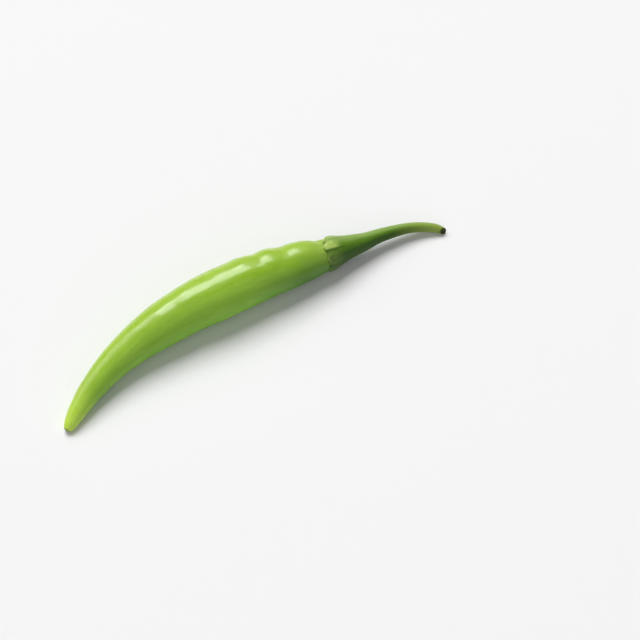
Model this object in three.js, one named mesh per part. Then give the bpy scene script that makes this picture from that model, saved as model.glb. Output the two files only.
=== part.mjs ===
// A green finger chilli as it is picked, lying on its side on a table: a long curved pod, the
// cap of fused sepals on its shoulder, and the stalk with its cut end.
//
// Every piece is turned on a lathe as if the chilli were straight, pressed into shape, such as
// where seeds push the skin out, and then bent along one middle line from the tip to the cut end.
//
// Millimetres, +Z up. +X runs from the tip to the stalk, +Y is the side that the chilli bulges to.
import * as THREE from "three";
import { mergeVertices } from "three/addons/utils/BufferGeometryUtils.js";

// Middle line of the chilli, [x, y, height above the table], from the tip to the cut end.
const MIDDLE_LINE = [
  [-1.8, -0.9, 1.1],
  [4.6, 2.8, 2.8],
  [12, 6.5, 4.2],
  [22, 9.9, 5.5],
  [33, 11.8, 6.4],
  [45.5, 12.6, 7.1],
  [58, 12, 7.6],
  [71, 10.8, 7.3],
  [84, 9.1, 6.4],
  [97, 7.2, 5.6],
  [104, 6.2, 4.9],
  [111, 5.6, 4.3],
  [120, 3.8, 3.1],
  [126.6, 0.75, 1.75],
  [129.3, -2.3, 1.1],
];

// Outlines, [distance from the tip along the middle line, radius].
const POD_OUTLINE = [
  [0, 0], // the tip, a blunt point
  [0.3, 0.85],
  [1.2, 1.5],
  [3, 2.05],
  [7, 2.75],
  [14, 3.6],
  [22, 4.4],
  [32, 5.55],
  [42, 6.65],
  [52, 7.3],
  [62, 7.7], // the belly, where the pod is thickest
  [72, 7.4],
  [80, 6.8],
  [87, 6.4],
  [92, 5.9],
  [96, 5.1], // the shoulder, which the cap hugs
  [97.6, 4.5],
  [99.6, 3.85],
  [101.4, 2.8],
  [102.5, 1.4],
  [102.9, 0], // the pod's base, hidden in the cap
];
const CALYX_INSIDE = [
  [103.2, 0],
  [102.9, 1.6],
  [101.6, 3.1],
  [99.7, 4.2],
  [97.8, 4.76],
];
const CALYX_EDGE = [97.4, 4.92];
const CALYX_OUTSIDE = [
  [98.1, 5.04],
  [100, 4.68],
  [103, 3.98],
  [106, 3.4],
  [109, 2.95],
];
const STEM_OUTLINE = [
  [109.3, 2.9], // where the stalk grows out of the cap
  [113, 2.36],
  [118, 1.98],
  [124, 1.68],
  [130, 1.5],
  [133.5, 1.38],
  [135.3, 1.17],
  [136.5, 0.98], // the worn edge of the cut
];

// Bulges over the seeds, with a crease between two neighbours: [distance from the tip, half length
// in mm, degrees round, half width in degrees, height in mm]. 0 degrees is +Y and 90 is up.
const SEED_BULGES = [
  [44, 4.5, 75, 75, 0.12],
  [54, 6, 75, 75, 0.12],
  [63.5, 4, 75, 70, 0.08],
  [71, 4.5, 60, 75, 0.28],
  [79.5, 4, 48, 68, 0.5],
  [89.4, 5.3, 58, 72, 0.42],
  [60, 6, 165, 60, 0.2],
  [83, 6, 165, 60, 0.35],
  [73, 6, 285, 60, 0.35],
  [86, 6, 275, 60, 0.4],
];
const DOME_RIM = 1.25; // 1 leaves a sharp crease round a bulge, and 2 none
// The hollow before the cap: its middle, reach and depth in mm, then its side and width in degrees.
const WAIST = { along: 95, reach: 2.2, depth: 0.35, round: 35, width: 40 };

// The sepals: [degrees round, half width in degrees, tooth that reaches out over the pod in mm,
// hump behind the tooth in mm].
const SEPALS = [
  [47, 27, 0.3, 0.32],
  [95, 18, 0.55, 0.62], // the one that stands up
  [128, 17, 0.8, 0.3],
  [170, 30, 0.5, 0.15],
  [230, 30, 0.7, 0.2],
  [290, 30, 0.5, 0.12],
  [350, 30, 0.6, 0.2],
];
const SEPAL_SIDE = 4; // degrees over which a sepal's side falls into the groove beside it
const TOOTH_SHARE = 0.45; // the width of a tooth, as a share of its sepal's half width
const TOOTH_FADE = [97.4, 99.8]; // the teeth fade out over this stretch
const HUMP = { along: 99.5, reach: 2.6 };
// The cap's edge lies askew on the pod, furthest back on the side at ASKEW_TURN.
const ASKEW = 1.2;
const ASKEW_TURN = -8;
const ASKEW_FADE = [98, 102];
const POD_TAPER = 0.25; // how fast the pod gets thinner under the edge

// The stalk was nipped off at a slant: how far back the cut goes for each mm across, the side where
// it goes furthest back, and the stretch over which the slant comes in.
const CUT_SLANT = 0.6;
const CUT_TURN = 130;
const CUT_FADE = [133.5, 136.3];

// Where a piece is thinner than this radius, its relief is lower in proportion.
const POD_FULL = 3;
const CALYX_FULL = 1.4;

const POD_RINGS = 120;
const POD_SIDES = 40;
const CALYX_RINGS_A_SIDE = 14;
const CALYX_SIDES = 90;
const STEM_RINGS = 30;
const STEM_SIDES = 24;
const MIDDLE_LINE_STEPS = 1400; // how finely the middle line's length is measured
const SAME_PLACE = 1e-4; // mm under which two vertices are one

const middleLine = new THREE.CatmullRomCurve3(
  MIDDLE_LINE.map((place) => new THREE.Vector3(...place)),
  false,
  "catmullrom",
);
middleLine.arcLengthDivisions = MIDDLE_LINE_STEPS;
const MIDDLE_LENGTH = middleLine.getLength();

// A smooth outline through stations of [distance, radius], as points for a lathe.
function smoothOutline(stations, divisions) {
  const points = stations.map(([along, radius]) => new THREE.Vector2(radius, along));
  return new THREE.SplineCurve(points).getPoints(divisions);
}

// A point of the lathe's profile on the axis.
const onAxis = (along) => new THREE.Vector2(0, along);

// 1 in the middle of a soft spot, and almost nothing at twice its reach.
const fallOff = (offset, reach) => Math.exp(-((offset / reach) ** 2));

// 1 in the middle of a bulge and 0 from its rim on, a soft crease where the shares reach 1.
const dome = (along, around) => Math.max(1 - along ** 2 - around ** 2, 0) ** DOME_RIM;

// 1 up to the start of a stretch, 0 from its end, and a smooth step between them.
const stepDown = (value, [start, end]) => 1 - THREE.MathUtils.smoothstep(value, start, end);

// How many degrees round from a place an angle is, between -180 and 180.
const roundFrom = (angle, place) => THREE.MathUtils.euclideanModulo(angle - place + 180, 360) - 180;

// Calls change({ along, angle, radius }) on each vertex of a turned shape and moves the vertex to
// what it leaves. The angle is in degrees.
function reshape(geometry, change) {
  const position = geometry.attributes.position;
  for (let i = 0; i < position.count; i++) {
    const point = {
      along: position.getY(i),
      angle: THREE.MathUtils.radToDeg(Math.atan2(position.getX(i), position.getZ(i))),
      radius: Math.hypot(position.getX(i), position.getZ(i)),
    };
    change(point);
    const turn = THREE.MathUtils.degToRad(point.angle);
    position.setXYZ(i, point.radius * Math.sin(turn), point.along, point.radius * Math.cos(turn));
  }
}

// Bends a straight turned shape along the middle line. Where the skin would dip below the table
// it lies flat on it.
function bend(geometry) {
  const position = geometry.attributes.position;
  const tableUp = new THREE.Vector3(0, 0, 1);
  for (let i = 0; i < position.count; i++) {
    const share = THREE.MathUtils.clamp(position.getY(i) / MIDDLE_LENGTH, 0, 1);
    const tangent = middleLine.getTangentAt(share);
    const side = new THREE.Vector3().crossVectors(tableUp, tangent).normalize();
    const up = new THREE.Vector3().crossVectors(tangent, side);
    const place = middleLine.getPointAt(share);
    place.addScaledVector(up, position.getX(i));
    place.addScaledVector(side, position.getZ(i));
    position.setXYZ(i, place.x, place.y, Math.max(place.z, 0));
  }
}

// One closed piece: turned, reshaped and bent.
function turnedPiece(name, profile, sides, change, material) {
  const lathe = new THREE.LatheGeometry(profile, sides);
  lathe.deleteAttribute("normal");
  lathe.deleteAttribute("uv");
  reshape(lathe, change);
  bend(lathe);
  const geometry = mergeVertices(lathe, SAME_PLACE);
  geometry.computeVertexNormals();
  const mesh = new THREE.Mesh(geometry, material);
  mesh.name = name;
  return mesh;
}

// The pod: one outline from the tip, over the belly, to the base inside the cap.
function makePod() {
  const profile = smoothOutline(POD_OUTLINE, POD_RINGS);
  const pressPod = (point) => {
    let lift = 0;
    for (const [middle, halfLength, round, halfWidth, height] of SEED_BULGES) {
      const around = roundFrom(point.angle, round) / halfWidth;
      lift += height * dome((point.along - middle) / halfLength, around);
    }
    const aside = roundFrom(point.angle, WAIST.round);
    lift -= WAIST.depth * fallOff(point.along - WAIST.along, WAIST.reach) * fallOff(aside, WAIST.width);
    point.radius += lift * Math.min(point.radius / POD_FULL, 1);
  };
  const skin = new THREE.MeshStandardMaterial({
    color: 0x8db93c,
    roughness: 0.28,
    metalness: 0,
  });
  return turnedPiece("pod", profile, POD_SIDES, pressPod, skin);
}

// The cap: a thin-edged cup over the pod's base, with a tooth and a hump for each sepal, down to
// the flat end where the stalk begins.
function makeCalyx() {
  const inside = smoothOutline(CALYX_INSIDE, CALYX_RINGS_A_SIDE);
  const outside = smoothOutline([CALYX_EDGE, ...CALYX_OUTSIDE], CALYX_RINGS_A_SIDE);
  const neck = CALYX_OUTSIDE.at(-1)[0];
  const pressSepals = (point) => {
    let tooth = 0;
    let lift = 0;
    for (const [round, halfWidth, length, hump] of SEPALS) {
      const aside = Math.abs(roundFrom(point.angle, round));
      const onSepal = stepDown(aside, [halfWidth - SEPAL_SIDE, halfWidth + SEPAL_SIDE]);
      tooth += length * fallOff(aside, TOOTH_SHARE * halfWidth);
      lift += hump * onSepal * fallOff(point.along - HUMP.along, HUMP.reach);
    }
    const askew = ASKEW * Math.cos(THREE.MathUtils.degToRad(point.angle - ASKEW_TURN));
    const reach =
      tooth * stepDown(point.along, TOOTH_FADE) - askew * stepDown(point.along, ASKEW_FADE);
    point.along -= reach;
    point.radius += (lift + POD_TAPER * reach) * Math.min(point.radius / CALYX_FULL, 1);
  };
  const cap = new THREE.MeshStandardMaterial({
    color: 0x55822f,
    roughness: 0.5,
    metalness: 0,
  });
  return turnedPiece("calyx", [...inside, ...outside, onAxis(neck)], CALYX_SIDES, pressSepals, cap);
}

// The stalk: slender, thicker where it leaves the cap, and cut at a slant at its end.
function makeStem() {
  const start = STEM_OUTLINE[0][0];
  const end = STEM_OUTLINE.at(-1)[0];
  const profile = [onAxis(start), ...smoothOutline(STEM_OUTLINE, STEM_RINGS), onAxis(end)];
  const slantCut = (point) => {
    const towards = point.radius * Math.cos(THREE.MathUtils.degToRad(point.angle - CUT_TURN));
    point.along -= CUT_SLANT * towards * (1 - stepDown(point.along, CUT_FADE));
  };
  const stalk = new THREE.MeshStandardMaterial({
    color: 0x6b9538,
    roughness: 0.55,
    metalness: 0,
  });
  return turnedPiece("stem", profile, STEM_SIDES, slantCut, stalk);
}

// The chilli, with the middle of its footprint at the origin.
function makeChilli() {
  const pieces = new THREE.Group();
  pieces.add(makePod(), makeCalyx(), makeStem());
  const middle = new THREE.Box3().setFromObject(pieces).getCenter(new THREE.Vector3());
  pieces.position.set(-middle.x, -middle.y, 0);
  const chilli = new THREE.Group();
  chilli.add(pieces);
  return chilli;
}

export default makeChilli();
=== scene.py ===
# %% [markdown]
# # A green finger chilli, lying as picked
# The chilli is three things that grew together: a long glossy pod, the cap of sepals on its
# shoulder, and the stalk with its dried, cut end. This lesson turns each of them on a lathe as if
# the chilli were straight, presses dents and ribs into it, and only then bends it. That is easier
# than modelling in the bent shape, because every dent can be placed by two plain numbers: how far
# it is from the tip, and how far round.

import bisect
import math

import bmesh
import bpy
from mathutils import Matrix, Vector, geometry, noise


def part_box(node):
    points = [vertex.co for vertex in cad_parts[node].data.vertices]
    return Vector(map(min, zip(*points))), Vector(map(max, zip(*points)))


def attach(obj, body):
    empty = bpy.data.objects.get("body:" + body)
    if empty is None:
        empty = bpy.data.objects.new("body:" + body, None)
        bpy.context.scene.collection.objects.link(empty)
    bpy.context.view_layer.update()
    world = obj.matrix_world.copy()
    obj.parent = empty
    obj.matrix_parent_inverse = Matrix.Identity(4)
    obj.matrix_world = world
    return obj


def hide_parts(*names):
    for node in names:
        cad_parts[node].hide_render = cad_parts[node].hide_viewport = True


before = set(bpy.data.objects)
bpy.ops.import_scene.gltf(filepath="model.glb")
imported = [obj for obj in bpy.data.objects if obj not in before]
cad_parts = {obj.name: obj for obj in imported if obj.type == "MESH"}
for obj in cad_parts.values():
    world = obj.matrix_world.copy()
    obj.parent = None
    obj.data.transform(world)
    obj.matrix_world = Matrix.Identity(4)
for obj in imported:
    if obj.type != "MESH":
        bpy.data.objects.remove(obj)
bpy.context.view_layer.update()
MM = 0.001

# %% [markdown]
# ## Camera
# A chilli is looked at as it lies in front of you: from above, with the tip near and to the left
# and the stalk far and to the right. A long lens from half a metre keeps it free of distortion.
# Directions are given by two angles, as on a tripod: a turn round the chilli, where 0 is in front
# and 180 behind, and a height above the table. The softboxes use them too.

# %% The camera
LENS = 90  # mm
VIEW_TURN = -32
VIEW_HEIGHT = 60
VIEW_DISTANCE = 480 * MM
LOOK_AT = Vector((16.1, -16.6, 0)) * MM


def direction(turn, height):
    """The direction from the chilli towards a place, from two angles in degrees."""
    turn, height = math.radians(turn), math.radians(height)
    level = math.cos(height)
    return Vector((math.sin(turn) * level, -math.cos(turn) * level, math.sin(height)))


camera = bpy.data.objects.new("camera", bpy.data.cameras.new("camera"))
camera.data.lens = LENS
camera.location = LOOK_AT + direction(VIEW_TURN, VIEW_HEIGHT) * VIEW_DISTANCE
camera.rotation_euler = direction(VIEW_TURN, VIEW_HEIGHT).to_track_quat("Z", "Y").to_euler()
bpy.context.collection.objects.link(camera)
bpy.context.scene.camera = camera
print("the camera is", round(camera.location.z / MM), "mm above the table")

# %% [markdown]
# ## The middle line
# A pod bends as it hangs and grows, so its middle line is a gentle bow, and the stalk hooks back
# a little. The line could be a Bézier curve drawn by hand. Here it is a Catmull-Rom curve, which
# goes through every station, because stations are easy to measure and to correct. Each stretch
# between two stations is the Bézier whose handles are a sixth of the line between the stations on
# either side.

# %% The middle line
# Stations in millimetres: x, y and height above the table.
MIDDLE_LINE = [
    (-1.8, -0.9, 1.1),
    (4.6, 2.8, 2.8),
    (12, 6.5, 4.2),
    (22, 9.9, 5.5),
    (33, 11.8, 6.4),
    (45.5, 12.6, 7.1),
    (58, 12, 7.6),
    (71, 10.8, 7.3),
    (84, 9.1, 6.4),
    (97, 7.2, 5.6),
    (104, 6.2, 4.9),
    (111, 5.6, 4.3),
    (120, 3.8, 3.1),
    (126.6, 0.75, 1.75),
    (129.3, -2.3, 1.1),
]
LINE_STEPS = 60  # between two stations


def smooth_line(stations, steps):
    """Points of the smooth curve through the stations, with so many steps between two of them."""
    knots = [Vector(station) for station in stations]
    knots = [2 * knots[0] - knots[1]] + knots + [2 * knots[-1] - knots[-2]]
    points = [knots[1]]
    for before, start, end, after in zip(knots, knots[1:], knots[2:], knots[3:]):
        leave = start + (end - before) / 6
        arrive = end - (after - start) / 6
        points += geometry.interpolate_bezier(start, leave, arrive, end, steps + 1)[1:]
    return points


line_points = smooth_line(MIDDLE_LINE, LINE_STEPS)
line_distances = [0.0]
for start, end in zip(line_points, line_points[1:]):
    line_distances.append(line_distances[-1] + (end - start).length)
LINE_LENGTH = line_distances[-1]
print("the middle line is", round(LINE_LENGTH, 1), "mm long")


def on_middle_line(distance):
    """The point so far along the middle line, and the directions to its side and up from it."""
    distance = min(max(distance, 0.0), LINE_LENGTH)
    index = min(bisect.bisect_right(line_distances, distance), len(line_distances) - 1)
    start, end = line_points[index - 1], line_points[index]
    share = (distance - line_distances[index - 1]) / (end - start).length
    before, after = line_points[max(index - 2, 0)], line_points[min(index + 1, len(line_points) - 1)]
    along = ((end - before).normalized().lerp((after - start).normalized(), share)).normalized()
    side = Vector((0, 0, 1)).cross(along).normalized()
    return start.lerp(end, share), side, along.cross(side)


# %% [markdown]
# ## Turning, pressing and bending
# Three steps make every piece. `turned` spins an outline round the Y axis, which leaves a closed,
# straight shape whose Y is the distance from the chilli's tip. `pressed` then asks a function what
# the distance and the radius of each vertex should be. `bent` carries the shape onto the middle
# line, and flattens the little that would sink into the table.
# Before it is pressed, each vertex also notes its straight place, in millimetres, in an attribute.
# The materials read that attribute, so their streaks follow the bend of the pod.


# %% Turn, press and bend
SAME_PLACE = 0.0005  # mm under which two vertices are one


def outline_of(stations, steps):
    """A smooth outline through stations of (distance, radius)."""
    return [(point.x, point.y) for point in smooth_line([(*place, 0) for place in stations], steps)]


def turned(outline, sides):
    """A closed straight shape, spun round Y from an outline of (distance, radius) points."""
    shape = bmesh.new()
    chain = [shape.verts.new((radius, distance, 0)) for distance, radius in outline]
    for pair in zip(chain, chain[1:]):
        shape.edges.new(pair)
    bmesh.ops.spin(
        shape,
        geom=shape.verts[:] + shape.edges[:],
        cent=(0, 0, 0),
        axis=(0, 1, 0),
        angle=math.tau,
        steps=sides,
        use_merge=True,
    )
    bmesh.ops.remove_doubles(shape, verts=shape.verts, dist=SAME_PLACE)
    bmesh.ops.recalc_face_normals(shape, faces=shape.faces)
    straight = shape.verts.layers.float_vector.new("straight")
    for vertex in shape.verts:
        vertex[straight] = vertex.co
    return shape


def pressed(shape, press):
    """Moves each vertex to the (distance, radius) that press(distance, turn, radius) gives."""
    for vertex in shape.verts:
        radius = math.hypot(vertex.co.x, vertex.co.z)
        turn = math.atan2(vertex.co.x, vertex.co.z)
        distance, radius = press(vertex.co.y, turn, radius)
        vertex.co = (radius * math.sin(turn), distance, radius * math.cos(turn))


def bent(shape):
    """Carries a straight shape onto the middle line and lets it lie flat on the table."""
    for vertex in shape.verts:
        place, side, up = on_middle_line(vertex.co.y)
        vertex.co = place + up * vertex.co.x + side * vertex.co.z
        vertex.co.z = max(vertex.co.z, 0)


print("vertices closer than", SAME_PLACE, "mm are merged")


# %% Finish a piece
CREASE = math.radians(50)  # an edge that folds by more stays sharp


def finished(shape, shift, name, node, material):
    """Turns a bent shape into a smooth object in metres that replaces a node of the frame."""
    bmesh.ops.scale(shape, verts=shape.verts, vec=(MM, MM, MM))
    bmesh.ops.translate(shape, verts=shape.verts, vec=shift)
    for face in shape.faces:
        face.smooth = True
    for edge in shape.edges:
        edge.smooth = edge.calc_face_angle() < CREASE
    mesh = bpy.data.meshes.new(name)
    shape.to_mesh(mesh)
    shape.free()
    mesh.materials.append(material)
    piece = bpy.data.objects.new(name, mesh)
    bpy.context.collection.objects.link(piece)
    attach(piece, "root")
    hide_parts(node)
    print(name, "has", len(mesh.polygons), "faces")
    return piece


# %% [markdown]
# ## Shapes of relief
# All relief is made of a few shapes of one number: a soft spot, a bulge with a rim, and a smooth
# step. They could be drawn as curves and looked up. A short formula for each is easier to reuse.


# %% The shapes
DOME_RIM = 1.25  # 1 leaves a sharp crease round a bulge, and 2 none


def fall_off(offset, reach):
    """1 in the middle of a soft spot, and almost nothing at twice its reach."""
    return math.exp(-((offset / reach) ** 2))


def dome(along, around):
    """1 in the middle of a bulge and 0 from its rim on, a soft crease where the shares reach 1."""
    return max(1 - along**2 - around**2, 0) ** DOME_RIM


def step_down(value, high_until, low_from):
    """1 up to one value, 0 from another, and a smooth step between them."""
    share = min(max((low_from - value) / (low_from - high_until), 0), 1)
    return share * share * (3 - 2 * share)


def round_from(turn, degrees_round):
    """How many degrees round from a place a turn is, between -180 and 180."""
    return (math.degrees(turn) - degrees_round + 180) % 360 - 180


print("a soft spot is down to", round(fall_off(1, 1), 2), "at its reach")

# %% [markdown]
# ## Colour and material helpers
# Colours are picked on a screen as sRGB hex values, but light adds up in linear values, so one
# function converts them. Another adds a node to a material with its settings and its links: a
# socket given as a value is linked, and anything else is set on the socket. Most of a skin is one
# colour laid over another by more and more as some value rises or falls, so that step has a helper.


# %% Colours and nodes
def paint(hex_colour):
    """A linear colour from an sRGB hex value, by the curve of the sRGB standard."""
    channels = [int(hex_colour[i : i + 2], 16) / 255 for i in (1, 3, 5)]
    linear = [c / 12.92 if c <= 0.04045 else ((c + 0.055) / 1.055) ** 2.4 for c in channels]
    return (*linear, 1.0)


def add(tree, kind, sockets=None, **settings):
    """Adds a node. sockets maps an input's name or number to a value or to a socket to link."""
    made = tree.nodes.new(kind)
    for name, value in settings.items():
        setattr(made, name, value)
    for key, value in (sockets or {}).items():
        if isinstance(value, bpy.types.NodeSocket):
            tree.links.new(value, made.inputs[key])
        else:
            made.inputs[key].default_value = value
    return made


def new_material(name):
    """An empty material and its node tree."""
    material = bpy.data.materials.new(name)
    material.use_nodes = True
    material.node_tree.nodes.clear()
    return material, material.node_tree


# The sockets of a colour Mix node have the same name for every type, so they go by number.
MIX_A, MIX_B, MIXED = 6, 7, 2


def tinted(tree, under, colour, by, none_at, most_at, most=1.0):
    """Lays a colour over another by a value: none of it at none_at, and the share most at most_at."""
    share = add(
        tree,
        "ShaderNodeMapRange",
        {"Value": by, "From Min": none_at, "From Max": most_at, "To Max": most},
    )
    mix = add(
        tree,
        "ShaderNodeMix",
        {0: share.outputs["Result"], MIX_A: under, MIX_B: paint(colour)},
        data_type="RGBA",
    )
    return mix.outputs[MIXED]


print("a screen's middle grey is", round(paint("#808080")[0], 2), "of white in linear light")


# %% Places on the straight shape
def straight_place(tree, along, across):
    """The straight place in units of a pattern's size, in millimetres along and across the pod."""
    place = add(tree, "ShaderNodeAttribute", attribute_name="straight", attribute_type="GEOMETRY")
    shrink = {"Vector": place.outputs["Vector"], "Scale": (1 / across, 1 / along, 1 / across)}
    return add(tree, "ShaderNodeMapping", shrink).outputs["Vector"]


# The side that faces the light, in degrees round: 0 is +Y and 90 is up. Painted light and shade, and the
# gloss, go by it.
LIT_SIDE = math.radians(50)


def lit_side(tree):
    """1 on the side that faces the light, 0 a quarter round from it and -1 opposite."""
    place = add(tree, "ShaderNodeAttribute", attribute_name="straight", attribute_type="GEOMETRY")
    from_middle = add(
        tree, "ShaderNodeVectorMath", {0: place.outputs["Vector"], 1: (1, 0, 1)}, operation="MULTIPLY"
    )
    outwards = add(
        tree, "ShaderNodeVectorMath", {0: from_middle.outputs["Vector"]}, operation="NORMALIZE"
    )
    to_sun = (math.sin(LIT_SIDE), 0, math.cos(LIT_SIDE))
    lit = add(
        tree, "ShaderNodeVectorMath", {0: outwards.outputs["Vector"], 1: to_sun}, operation="DOT_PRODUCT"
    )
    return lit.outputs["Value"]


print("the sunny side is", round(math.degrees(LIT_SIDE)), "degrees round")

# %% [markdown]
# ## The skin of the pod
# The skin is a smooth cuticle of wax over pale, wet flesh. It is shiny, light goes in a little way
# and comes back softer, and the wax adds a sharper shine on top: subsurface scattering and a thin
# coat. It could be painted by hand. Here it is built of patterns that read the straight place, so
# every streak follows the bend, on all sides. Unripe green is never even: it lies in long soft
# patches. Over them go painted light, yellower on the side towards the light, and painted shade,
# a deeper green on the side away from it.

# %% Waxy chilli skin: the greens, with painted light and shade
SKIN_GREEN = "#88b61c"
SKIN_PALE = "#94c228"
SKIN_PAINTED_LIGHT = "#a8c545"
SKIN_SHOULDER_AND_SHEEN = "#a0bd52"
SKIN_PAINTED_SHADE = "#7ab40e"
pod_skin, tree = new_material("waxy chilli skin")
place = add(tree, "ShaderNodeAttribute", attribute_name="straight", attribute_type="GEOMETRY")
distance = add(tree, "ShaderNodeSeparateXYZ", {"Vector": place.outputs["Vector"]}).outputs["Y"]
lit = lit_side(tree)
# Long soft patches of two greens, about 26 mm long and 9 mm wide.
patches = add(
    tree,
    "ShaderNodeTexNoise",
    {"Vector": straight_place(tree, along=26, across=9), "Scale": 1, "Detail": 2},
).outputs["Fac"]
skin = tinted(tree, paint(SKIN_GREEN), SKIN_PALE, by=patches, none_at=0.3, most_at=0.7)
# Painted light: the side towards the light is yellower.
skin = tinted(tree, skin, SKIN_PAINTED_LIGHT, by=lit, none_at=0.3, most_at=1, most=0.7)
# It is paler beside the cap, partly its own paler skin and partly a painted sheen.
skin = tinted(tree, skin, SKIN_SHOULDER_AND_SHEEN, by=distance, none_at=89, most_at=95, most=0.75)
# Painted shade: the side away from the light is a deeper green.
skin = tinted(tree, skin, SKIN_PAINTED_SHADE, by=lit, none_at=0.1, most_at=-0.6)
print(pod_skin.name, "has", len(tree.nodes), "nodes so far")

# %% [markdown]
# Over the greens go the marks of growth: thin pale streaks and pores. Towards the shoulder the
# whole side away from the light is darkened further, a painted shadow. Another mix would wash the
# streaks out there, so this one multiplies, which keeps them and darkens all of it alike.

# %% Streaks, pores and the painted shadow
SKIN_STREAK = "#aad344"
SKIN_PORE = "#b4d86c"
SKIN_PAINTED_SHADOW = "#95ae7c"
# Thin lengthwise streaks, 1.1 mm wide.
streaks = add(
    tree,
    "ShaderNodeTexNoise",
    {"Vector": straight_place(tree, along=11, across=1.1), "Scale": 1, "Detail": 3},
).outputs["Fac"]
skin = tinted(tree, skin, SKIN_STREAK, by=streaks, none_at=0.45, most_at=0.75, most=0.35)
# Pores, pale flecks up to half a millimetre long. The distance to the nearest of many scattered
# points is small only inside a fleck.
pores = add(
    tree,
    "ShaderNodeTexVoronoi",
    {"Vector": straight_place(tree, along=2.6, across=1.7), "Scale": 1, "Randomness": 1},
).outputs["Distance"]
skin = tinted(tree, skin, SKIN_PORE, by=pores, none_at=0.13, most_at=0.06, most=0.3)
# Painted shadow: towards the shoulder the side away from the light is darkened further.
away_from_light = add(
    tree, "ShaderNodeMapRange", {"Value": lit, "From Min": 0.75, "From Max": -0.5, "To Max": 0.95}
)
near_shoulder = add(tree, "ShaderNodeMapRange", {"Value": distance, "From Min": 69, "From Max": 87})
painted_shadow_share = add(
    tree,
    "ShaderNodeMath",
    {0: away_from_light.outputs["Result"], 1: near_shoulder.outputs["Result"]},
    operation="MULTIPLY",
)
shadow_darkened = add(
    tree,
    "ShaderNodeMix",
    {0: painted_shadow_share.outputs["Value"], MIX_A: skin, MIX_B: paint(SKIN_PAINTED_SHADOW)},
    data_type="RGBA",
    blend_type="MULTIPLY",
)
skin = shadow_darkened.outputs[MIXED]
print(pod_skin.name, "has", len(tree.nodes), "nodes so far")

# %% [markdown]
# Last come the point of the tip, dried where the flower's style was, and a painted shadow beside
# the notch in the cap, in the hollow under the sepal that stands up, in the same dark colour.

# %% The dried tip and the painted shadow at the notch
SKIN_TIP = "#c5e54c"
# The colour of the dried tip, and of the painted shadow at the notch.
DRIED_AND_SHADOW = "#4e5e0a"
NOTCH_SHADOW = (4.7, 96.9, 1.17)  # mm, straight place
# More yellow over the last 14 mm to the tip, and dried at the very end.
skin = tinted(tree, skin, SKIN_TIP, by=distance, none_at=14, most_at=1, most=0.9)
skin = tinted(tree, skin, DRIED_AND_SHADOW, by=distance, none_at=0.7, most_at=0.15, most=0.85)
# Painted shadow: a dark spot beside the notch, where the standing sepal overhangs the pod.
from_notch_shadow = add(
    tree, "ShaderNodeVectorMath", {0: place.outputs["Vector"], 1: NOTCH_SHADOW}, operation="DISTANCE"
).outputs["Value"]
skin = tinted(tree, skin, DRIED_AND_SHADOW, by=from_notch_shadow, none_at=1.1, most_at=0.5, most=0.8)
print(pod_skin.name, "has", len(tree.nodes), "nodes so far")

# %% [markdown]
# The gloss varies as the colour does. Handling has dulled the wax in smudges. The wax is thickest
# in the sun, so the skin is duller out of it, and a little duller on the shoulder too.

# %% Gloss, dimples and the shader
# Smudges of a few millimetres.
smudges = add(
    tree,
    "ShaderNodeTexNoise",
    {"Vector": straight_place(tree, along=4, across=2.5), "Scale": 1, "Detail": 3},
)
smudged = add(
    tree,
    "ShaderNodeMapRange",
    {"Value": smudges.outputs["Fac"], "From Min": 0.3, "From Max": 0.7, "To Min": 0.2, "To Max": 0.44},
)
off_sun_dullness = add(
    tree, "ShaderNodeMapRange", {"Value": lit, "From Min": 0.3, "From Max": -0.3, "To Max": 0.3}
)
shoulder_dullness = add(
    tree, "ShaderNodeMapRange", {"Value": distance, "From Min": 80, "From Max": 86, "To Max": 0.12}
)
roughness = smudged.outputs["Result"]
for dullness in (off_sun_dullness, shoulder_dullness):
    both = add(tree, "ShaderNodeMath", {0: roughness, 1: dullness.outputs["Result"]}, operation="ADD")
    roughness = both.outputs["Value"]
# The skin's cells are too fine to show, so their dimples are drawn nearly a millimetre wide.
cells = add(
    tree,
    "ShaderNodeTexNoise",
    {"Vector": straight_place(tree, along=1.1, across=0.8), "Scale": 1, "Detail": 2},
)
dimples = add(
    tree,
    "ShaderNodeBump",
    {"Height": cells.outputs["Fac"], "Distance": 0.025 * MM, "Strength": 1},
)
waxy = add(
    tree,
    "ShaderNodeBsdfPrincipled",
    {
        "Base Color": skin,
        "Roughness": roughness,
        "Normal": dimples.outputs["Normal"],
        "IOR": 1.45,
        "Subsurface Weight": 0.25,
        "Subsurface Radius": (0.6, 1.0, 0.25),
        "Subsurface Scale": 1.5 * MM,
        "Coat Weight": 0.4,
        "Coat Roughness": 0.14,
    },
)
add(tree, "ShaderNodeOutputMaterial", {"Surface": waxy.outputs["BSDF"]})
print("made", pod_skin.name, "of", len(tree.nodes), "nodes")

# %% [markdown]
# ## The pod
# The pod is one outline turned once round. What makes it a chilli and not a balloon is relief:
# bulges where seeds push the skin out near the shoulder, three low lobes for the chambers inside,
# a hollow and short pleats where the skin is drawn in under the cap, and a gentle unevenness that
# makes the shine waver. It could be sculpted. Pressed in by numbers, each form can be moved on its
# own, and it shows in the outline too.

# %% The pod's outline and bulges
# Stations in millimetres: distance from the tip, and radius.
POD_OUTLINE = [
    (0, 0),
    (0.3, 0.85),
    (1.2, 1.5),
    (3, 2.05),
    (7, 2.75),
    (14, 3.6),
    (22, 4.4),
    (32, 5.55),
    (42, 6.65),
    (52, 7.3),
    (62, 7.7),
    (72, 7.4),
    (80, 6.8),
    (87, 6.4),
    (92, 5.9),
    (96, 5.1),
    (97.8, 4.7),
    (99.8, 4.1),
    (101.4, 2.8),
    (102.5, 1.4),
    (102.9, 0),
]
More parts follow.
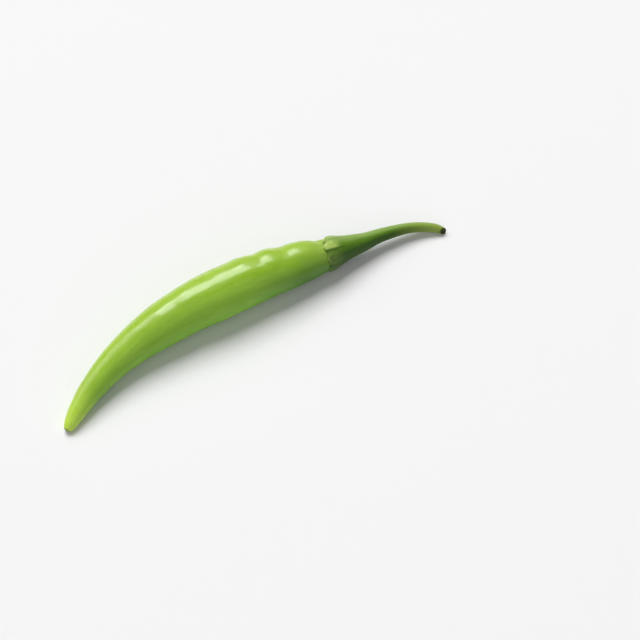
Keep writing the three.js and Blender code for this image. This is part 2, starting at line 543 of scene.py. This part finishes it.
# Bulges over the seeds, with a crease between two neighbours: distance from the tip and half
# length in millimetres, degrees round (0 is +Y, 90 is up) and half width in degrees, and height
# in millimetres.
SEED_BULGES = [
    (43.2, 4.7, 75, 75, 0.12),
    (54, 6, 75, 75, 0.12),
    (63.5, 4, 75, 70, 0.08),
    (71, 4.5, 58, 72, 0.27),
    (70.2, 3.6, 52, 38, 0.1),
    (79.5, 4, 48, 68, 0.46),
    (79, 3.2, 52, 38, 0.16),
    (89.4, 5.3, 58, 72, 0.42),
    (60, 6, 165, 60, 0.2),
    (83, 6, 165, 60, 0.35),
    (73, 6, 285, 60, 0.35),
    (86, 6, 275, 60, 0.4),
]
print("the pod has", len(SEED_BULGES), "bulges over its seeds")

# %% The pod's finer relief
CHAMBERS = 3
CHAMBER_TURN = math.radians(180)
CHAMBER_LIFT = 0.08  # mm
CHAMBER_START = 50  # mm from the tip until the lobes have their full height
# The hollow before the cap, in millimetres and degrees round.
WAIST, WAIST_REACH, WAIST_DEPTH = 95, 2.2, 0.35
WAIST_SIDE, WAIST_WIDTH = 35, 40
UNEVENNESS = [(9, 0.12), (4.6, 0.09), (2.4, 0.055), (1.3, 0.015)]  # size and height in mm
PLEATS_ROUND = 4.5  # more of them makes each one narrower
PLEAT_LENGTH = 14  # mm
PLEAT_DEPTH = 0.22  # mm
PLEAT_MIDDLE, PLEAT_REACH = 97, 3.2  # mm
# Two patterns of one noise differ where they are cut from other slices of it.
UNEVEN_SLICE = 5
PLEAT_SLICE = 3
POD_FULL = 3  # mm of radius under which the relief is lower in proportion


def press_pod(distance, turn, radius):
    """Lobes, bulges over the seeds, the hollow before the cap, unevenness, and pleats."""
    lift = CHAMBER_LIFT * math.cos(CHAMBERS * turn - CHAMBER_TURN) * min(distance / CHAMBER_START, 1)
    for middle, half_length, degrees_round, half_width, height in SEED_BULGES:
        aside = round_from(turn, degrees_round) / half_width
        lift += height * dome((distance - middle) / half_length, aside)
    hollow = fall_off(distance - WAIST, WAIST_REACH) * fall_off(round_from(turn, WAIST_SIDE), WAIST_WIDTH)
    lift -= WAIST_DEPTH * hollow
    outwards = Vector((math.sin(turn), 0, math.cos(turn)))
    for size, height in UNEVENNESS:
        place = outwards * radius + Vector((0, distance, UNEVEN_SLICE * size))
        lift += height * noise.noise(place / size)
    pleats = noise.noise(outwards * PLEATS_ROUND + Vector((0, distance / PLEAT_LENGTH, PLEAT_SLICE)))
    lift += PLEAT_DEPTH * pleats * fall_off(distance - PLEAT_MIDDLE, PLEAT_REACH)
    return distance, radius + lift * min(radius / POD_FULL, 1)


print("its unevenness comes in", len(UNEVENNESS), "sizes")

# %% Turn, press and bend the pod
POD_STEPS = 16  # between two stations
POD_SIDES = 160
pod_shape = turned(outline_of(POD_OUTLINE, POD_STEPS), POD_SIDES)
pressed(pod_shape, press_pod)
bent(pod_shape)
print("the pod's mesh has", len(pod_shape.verts), "points")

# %% [markdown]
# The part's own frame has its origin in the middle of the footprint. The stations start near the
# tip, so every finished piece is moved by the distance between this pod and the frame's pod.

# %% Put the pod in the frame
places = [vertex.co for vertex in pod_shape.verts]
made_middle = Vector([(min(p[i] for p in places) + max(p[i] for p in places)) / 2 for i in range(3)])
pod_low, pod_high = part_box("pod")
footprint_shift = (pod_low + pod_high) / 2 - made_middle * MM
footprint_shift.z = 0
print("moved by", [round(step / MM, 2) for step in footprint_shift], "mm")
pod = finished(pod_shape, footprint_shift, "pod_skin", "pod", pod_skin)

# %% [markdown]
# ## The skin of the cap and the stalk
# The cap and the stalk grew as one, and have one skin: duller and darker than the pod, streaked
# lengthwise, and olive towards the end of the stalk. Painted light makes the side towards the light
# paler, and painted shade makes the other side a deeper green. The sepals and the edge of the cap
# are paler, partly their own colour and partly a painted highlight, and the cut has dried dark. It
# is built as the pod's skin is, on the same straight place. Where a sepal is pale is easier to say
# in the mesh, so the skin reads that from an attribute.

# %% Matt stalk skin: the greens, with painted light and shade
STALK_DARK = "#567e1c"
STALK_GREEN = "#689228"
STALK_PAINTED_LIGHT = "#a0b868"
STALK_PAINTED_SHADE = "#264b06"
STALK_OLIVE = "#92a748"
stalk_skin, tree = new_material("matt stalk skin")
place = add(tree, "ShaderNodeAttribute", attribute_name="straight", attribute_type="GEOMETRY")
distance = add(tree, "ShaderNodeSeparateXYZ", {"Vector": place.outputs["Vector"]}).outputs["Y"]
lit = lit_side(tree)
# Patches of two greens, about 10 mm long and 1.6 mm wide.
patches = add(
    tree,
    "ShaderNodeTexNoise",
    {"Vector": straight_place(tree, along=10, across=1.6), "Scale": 1, "Detail": 3},
).outputs["Fac"]
skin = tinted(tree, paint(STALK_DARK), STALK_GREEN, by=patches, none_at=0.3, most_at=0.7)
# As on the pod, painted light makes one side paler and painted shade makes the other a deeper green.
skin = tinted(tree, skin, STALK_PAINTED_LIGHT, by=lit, none_at=0.6, most_at=1, most=0.6)
skin = tinted(tree, skin, STALK_PAINTED_SHADE, by=lit, none_at=0.75, most_at=0, most=0.85)
# The far end of the stalk, which the sun reached from all round, has turned olive.
skin = tinted(tree, skin, STALK_OLIVE, by=distance, none_at=119, most_at=134, most=0.85)
print(stalk_skin.name, "has", len(tree.nodes), "nodes so far")

# %% Pale sepals with a painted highlight, and the dried cut
CAP_PALE_AND_HIGHLIGHT = "#b4cc68"
CUT_DRIED = "#2e3c06"
# The sepals are paler where the attribute says, in mottles of about a millimetre: partly their own pale
# edges and partly a painted highlight.
pale_and_highlight_places = add(tree, "ShaderNodeAttribute", attribute_name="pale", attribute_type="GEOMETRY")
mottles = add(
    tree,
    "ShaderNodeTexNoise",
    {"Vector": straight_place(tree, along=1.4, across=1), "Scale": 1, "Detail": 2},
)
mottle_share = add(
    tree,
    "ShaderNodeMapRange",
    {"Value": mottles.outputs["Fac"], "From Min": 0.35, "From Max": 0.6, "To Min": 0.5, "To Max": 1.2},
)
pale_and_highlight_share = add(
    tree,
    "ShaderNodeMath",
    {0: pale_and_highlight_places.outputs["Fac"], 1: mottle_share.outputs["Result"]},
    operation="MULTIPLY",
    use_clamp=True,
)
edged_and_highlighted = add(
    tree,
    "ShaderNodeMix",
    {0: pale_and_highlight_share.outputs["Value"], MIX_A: skin, MIX_B: paint(CAP_PALE_AND_HIGHLIGHT)},
    data_type="RGBA",
)
at_cut = add(tree, "ShaderNodeMapRange", {"Value": distance, "From Min": 135.7, "From Max": 136.4})
dried = add(
    tree,
    "ShaderNodeMix",
    {0: at_cut.outputs["Result"], MIX_A: edged_and_highlighted.outputs[MIXED], MIX_B: paint(CUT_DRIED)},
    data_type="RGBA",
)
print(stalk_skin.name, "has", len(tree.nodes), "nodes so far")

# %% Its dull gloss, fine ribs and shader
# It is duller out of the sun, and the cut is dry and quite matt.
dullness = add(
    tree,
    "ShaderNodeMapRange",
    {"Value": lit, "From Min": 0.4, "From Max": -0.2, "To Min": 0.42, "To Max": 0.65},
)
roughness = add(
    tree,
    "ShaderNodeMath",
    {0: dullness.outputs["Result"], 1: at_cut.outputs["Result"]},
    operation="ADD",
    use_clamp=True,
)
grain = add(
    tree,
    "ShaderNodeTexNoise",
    {"Vector": straight_place(tree, along=1.6, across=0.3), "Scale": 1, "Detail": 3},
)
fine_ribs = add(
    tree,
    "ShaderNodeBump",
    {"Height": grain.outputs["Fac"], "Distance": 0.05 * MM, "Strength": 0.6},
)
matt = add(
    tree,
    "ShaderNodeBsdfPrincipled",
    {
        "Base Color": dried.outputs[MIXED],
        "Roughness": roughness.outputs["Value"],
        "Normal": fine_ribs.outputs["Normal"],
        "IOR": 1.35,
        "Coat Weight": 0.1,
        "Coat Roughness": 0.3,
        "Subsurface Weight": 0.08,
        "Subsurface Radius": (0.5, 0.8, 0.2),
        "Subsurface Scale": 0.8 * MM,
    },
)
add(tree, "ShaderNodeOutputMaterial", {"Surface": matt.outputs["BSDF"]})
print("made", stalk_skin.name, "of", len(tree.nodes), "nodes")

# %% [markdown]
# ## The cap
# The cap is a cup of sepals that grew together. Each sepal has a hump at the edge, a groove on
# either side, and a rib that runs back to the stalk, and a small tooth reaches out over the pod.
# On this chilli one sepal stands up a little. The sepals could be separate leaves, joined after.
# They grew as one skin, so they are pressed into one cup. Its edge is thin and lies on the pod, so
# the outline goes up the inside of the cup, round the edge and back along the outside.

# %% The cap's outline
CALYX_INSIDE = [(103.2, 0), (102.9, 1.6), (101.6, 2.9), (99.8, 4.0), (98, 4.55)]
CALYX_EDGE = [(97.45, 4.78), (97.4, 4.9), (97.5, 4.99)]
CALYX_OUTSIDE = [(98.1, 5.04), (100, 4.68), (103, 3.98), (106, 3.4), (109.15, 2.9)]
NECK = CALYX_OUTSIDE[-1][0]
INSIDE_STEPS, EDGE_STEPS, OUTSIDE_STEPS = 8, 3, 14
calyx_outline = (
    outline_of(CALYX_INSIDE, INSIDE_STEPS)
    + outline_of(CALYX_EDGE, EDGE_STEPS)
    + outline_of(CALYX_OUTSIDE, OUTSIDE_STEPS)
    + [(NECK, 0)]
)
print("the cap's outline has", len(calyx_outline), "points")

# %% Its sepals and teeth
# Sepals: degrees round and half width in degrees, height of the hump in millimetres, and paleness, which
# is partly a painted highlight.
SEPALS = [
    (47, 27, 0.32, 0.1),
    (95, 18, 0.62, 0.75),
    (141, 26, 0.3, 0.2),
    (190, 24, 0.15, 0.1),
    (236, 26, 0.2, 0.2),
    (290, 30, 0.12, 0.1),
    (350, 30, 0.2, 0.2),
]
# Their teeth, which needn't be in the middle: degrees round, width in degrees, length in millimetres.
TEETH = [
    (47, 12, 0.3),
    (98, 14, 1.4),
    (136, 15, 0.6),
    (190, 11, 0.5),
    (236, 12, 0.7),
    (290, 14, 0.5),
    (350, 14, 0.6),
]
SEPAL_SIDE = 4  # degrees over which a sepal's side falls into the groove beside it
HUMP, HUMP_REACH = 99.5, 2.6  # mm
RIB, RIB_REACH, RIB_HEIGHT = 105, 6, 0.1  # mm
RIB_WIDTH = 10  # degrees
TOOTH_FADE = (97.4, 99.8)  # mm, the stretch over which the teeth fade out
ASKEW, ASKEW_TURN = 1.2, math.radians(-8)  # mm, and the side where the edge lies furthest back
ASKEW_FADE = (98, 102)  # mm
POD_TAPER = 0.25  # how fast the pod gets thinner under the edge
print("the cap has", len(SEPALS), "sepals and", len(TEETH), "teeth")

# %% Press the cap and the stalk alike
# Wrinkles: how many round, their length in mm, their slice of the noise, and their height in mm.
WRINKLES = [(4, 9, 0, 0.06), (9, 5, 5, 0.025)]
STALK_RIDGES = 5
STALK_TWIST = 0.03  # radians for each mm along
RIDGE_HEIGHT = 0.03  # mm
RIDGE_START, RIDGE_FADE_IN = 104, 8  # mm
WRINKLE_FULL, GREEN_FULL = 1.5, 1.4  # mm of radius under which relief is lower in proportion


def press_green(distance, turn, radius):
    """Sepals at the cap's edge, ribs from them along the stalk, and fine wrinkles all along."""
    lift = 0.0
    for degrees_round, half_width, hump, _ in SEPALS:
        aside = abs(round_from(turn, degrees_round))
        on_sepal = step_down(aside, half_width - SEPAL_SIDE, half_width + SEPAL_SIDE)
        lift += hump * on_sepal * fall_off(distance - HUMP, HUMP_REACH)
        lift += RIB_HEIGHT * fall_off(aside, RIB_WIDTH) * fall_off(distance - RIB, RIB_REACH)
    reach = sum(length * fall_off(round_from(turn, middle), width) for middle, width, length in TEETH)
    reach *= step_down(distance, *TOOTH_FADE)
    reach -= ASKEW * math.cos(turn - ASKEW_TURN) * step_down(distance, *ASKEW_FADE)
    lift += POD_TAPER * reach
    outwards = Vector((math.sin(turn), 0, math.cos(turn)))
    fine = 0.0
    for many_round, length, slice_at, height in WRINKLES:
        fine += height * noise.noise(outwards * many_round + Vector((0, distance / length, slice_at)))
    ridges = math.cos(STALK_RIDGES * turn + distance * STALK_TWIST)
    fine += RIDGE_HEIGHT * (ridges * min(max((distance - RIDGE_START) / RIDGE_FADE_IN, 0), 1))
    lift += fine * min(radius / WRINKLE_FULL, 1)
    return distance - reach, radius + lift * min(radius / GREEN_FULL, 1)


print("its wrinkles come in", len(WRINKLES), "sizes")

# %% Note where the cap is pale, partly with a painted highlight
CAP_SIDES = 240  # the stalk has as many, so that what runs on along it meets at the neck
PALE_FADE = (99, 102)  # mm, the stretch over which a sepal's paleness fades out
TOOTH_PALE_FADE = (97.5, 98.6)  # mm, the same for the edge
TOOTH_PALE_WIDTH = 8  # degrees
TOOTH_PALENESS = 0.1
SEPAL_TO_TOOTH = 0.5  # the share of its sepal's paleness that an edge has on top
calyx_shape = turned(calyx_outline, CAP_SIDES)
# The paleness is partly the sepals' own colour and partly a painted highlight on the standing sepal and
# the tooth tips.
pale = calyx_shape.verts.layers.float.new("pale")
for vertex in calyx_shape.verts:
    turn = math.atan2(vertex.co.x, vertex.co.z)
    for degrees_round, half_width, _, paleness in SEPALS:
        aside = abs(round_from(turn, degrees_round))
        on_sepal = step_down(aside, half_width - 2 * SEPAL_SIDE, half_width)
        vertex[pale] += paleness * on_sepal * step_down(vertex.co.y, *PALE_FADE)
        at_edge = fall_off(aside, TOOTH_PALE_WIDTH) * step_down(vertex.co.y, *TOOTH_PALE_FADE)
        vertex[pale] += (TOOTH_PALENESS + SEPAL_TO_TOOTH * paleness) * at_edge
print("the palest place of the cap is", round(max(vertex[pale] for vertex in calyx_shape.verts), 2))

# %% Press and bend the cap
pressed(calyx_shape, press_green)
bent(calyx_shape)
calyx = finished(calyx_shape, footprint_shift, "calyx_cap", "calyx", stalk_skin)

# %% [markdown]
# ## The stalk
# The stalk is a slender stem that held the chilli to the plant. It is thickest at the neck of the
# cap, and was nipped off at a slant. A curve with a round bevel would give the same taper. It is
# turned instead, so that the ribs and wrinkles of the cap run on along it, by the same function.

# %% The stalk
STEM_OUTLINE = [
    (NECK, 2.9),
    (113, 2.36),
    (118, 1.98),
    (124, 1.68),
    (130, 1.5),
    (133.5, 1.38),
    (135.3, 1.17),
    (136.5, 0.98),
    (136.7, 0.82),
]
CUT_FACE = [(136.55, 0.6), (136.45, 0)]  # dried, so it sinks towards its middle
STEM_STEPS = 14  # between two stations
stem_outline = [(NECK, 0)] + outline_of(STEM_OUTLINE, STEM_STEPS) + CUT_FACE
stem_shape = turned(stem_outline, CAP_SIDES)
pressed(stem_shape, press_green)
print("the stalk's mesh has", len(stem_shape.verts), "points")

# %% Its slanted cut
# How much nearer to the cap the cut lies for each millimetre across, the side where it lies
# nearest, and the stretch over which the slant comes in, in millimetres.
CUT_SLANT, CUT_SIDE = 0.6, math.radians(130)
CUT_FADE = (133.5, 136.3)
for vertex in stem_shape.verts:
    towards = vertex.co.x * math.sin(CUT_SIDE) + vertex.co.z * math.cos(CUT_SIDE)
    vertex.co.y -= CUT_SLANT * towards * (1 - step_down(vertex.co.y, *CUT_FADE))
bent(stem_shape)
stem = finished(stem_shape, footprint_shift, "stem_stalk", "stem", stalk_skin)

# %% [markdown]
# ## The table
# A plain pale table, painted matt: light comes back evenly from it, with hardly any shine. One
# large flat face is enough, because nothing but shadow shows on it.

# %% The table
TABLE_HALF_SIDE = 4  # m
table_material, table_tree = new_material("matt white table")
table_shader = add(
    table_tree,
    "ShaderNodeBsdfPrincipled",
    {"Base Color": paint("#f0f0f0"), "Roughness": 0.9, "Specular IOR Level": 0.1},
)
add(table_tree, "ShaderNodeOutputMaterial", {"Surface": table_shader.outputs["BSDF"]})
table_shape = bmesh.new()
bmesh.ops.create_grid(table_shape, x_segments=1, y_segments=1, size=TABLE_HALF_SIDE)
table_mesh = bpy.data.meshes.new("table")
table_shape.to_mesh(table_mesh)
table_shape.free()
table_mesh.materials.append(table_material)
table = bpy.data.objects.new("table", table_mesh)
bpy.context.collection.objects.link(table)
print("the table is", 2 * TABLE_HALF_SIDE, "m wide")

# %% [markdown]
# ## The light
# A shiny surface is a mirror, and the long shine on the pod is the reflection of a softbox. So the
# bright one is laid out along the chilli, above and behind it, and its two ends decide where the
# shine begins and ends. A dim one to its left carries a weaker shine on towards the tip. The third
# is a weak wide fill in front, which keeps the near side from going black. Lamps could be placed by
# eye, but two directions and a width say at once what the chilli sees.


# %% The softboxes
SOFTBOX_DISTANCE = 6  # m


def add_softbox(name, left_end, right_end, degrees_wide, radiance):
    """A softbox from one end to the other, each a (turn, height), that faces the chilli."""
    ends = [direction(*left_end) * SOFTBOX_DISTANCE, direction(*right_end) * SOFTBOX_DISTANCE]
    middle = (ends[0] + ends[1]) / 2
    back = middle.normalized()
    along = (ends[1] - ends[0]).normalized()
    light = bpy.data.lights.new(name, "AREA")
    light.shape = "RECTANGLE"
    light.size = (ends[1] - ends[0]).length
    light.size_y = 2 * middle.length * math.tan(math.radians(degrees_wide) / 2)
    # A matt lamp's watts for each square metre are pi times its radiance.
    light.energy = radiance * math.pi * light.size * light.size_y
    box = bpy.data.objects.new(name, light)
    box.location = middle
    box.rotation_euler = Matrix((along, back.cross(along), back)).transposed().to_euler()
    bpy.context.collection.objects.link(box)
    print(name, "has", round(light.energy), "watts")


add_softbox("bright softbox", left_end=(-168, 61.5), right_end=(139, 48), degrees_wide=36, radiance=7.5)
add_softbox("dim softbox", left_end=(-140, 22), right_end=(-170, 60), degrees_wide=32, radiance=1.9)
add_softbox("front fill", left_end=(-90, 25), right_end=(30, 25), degrees_wide=70, radiance=0.53)

# %% [markdown]
# Past the edge of the table the camera sees a pale backdrop. All other rays see a room that is
# nearly dark, so that the softboxes alone decide the light and the shade stays deep.

# %% The studio
BACKDROP = "#f2f2f2"
ROOM_LIGHT = 0.05
world = bpy.data.worlds.new("studio")
world.use_nodes = True
world.node_tree.nodes.clear()
backdrop = add(world.node_tree, "ShaderNodeBackground", {"Color": paint(BACKDROP), "Strength": 1})
room = add(world.node_tree, "ShaderNodeBackground", {"Color": paint("#ffffff"), "Strength": ROOM_LIGHT})
rays = add(world.node_tree, "ShaderNodeLightPath")
seen = add(
    world.node_tree,
    "ShaderNodeMixShader",
    {0: rays.outputs["Is Camera Ray"], 1: room.outputs[0], 2: backdrop.outputs[0]},
)
add(world.node_tree, "ShaderNodeOutputWorld", {"Surface": seen.outputs[0]})
bpy.context.scene.world = world
bpy.context.scene.view_settings.view_transform = "Standard"
print("the room gives", ROOM_LIGHT, "of white light")
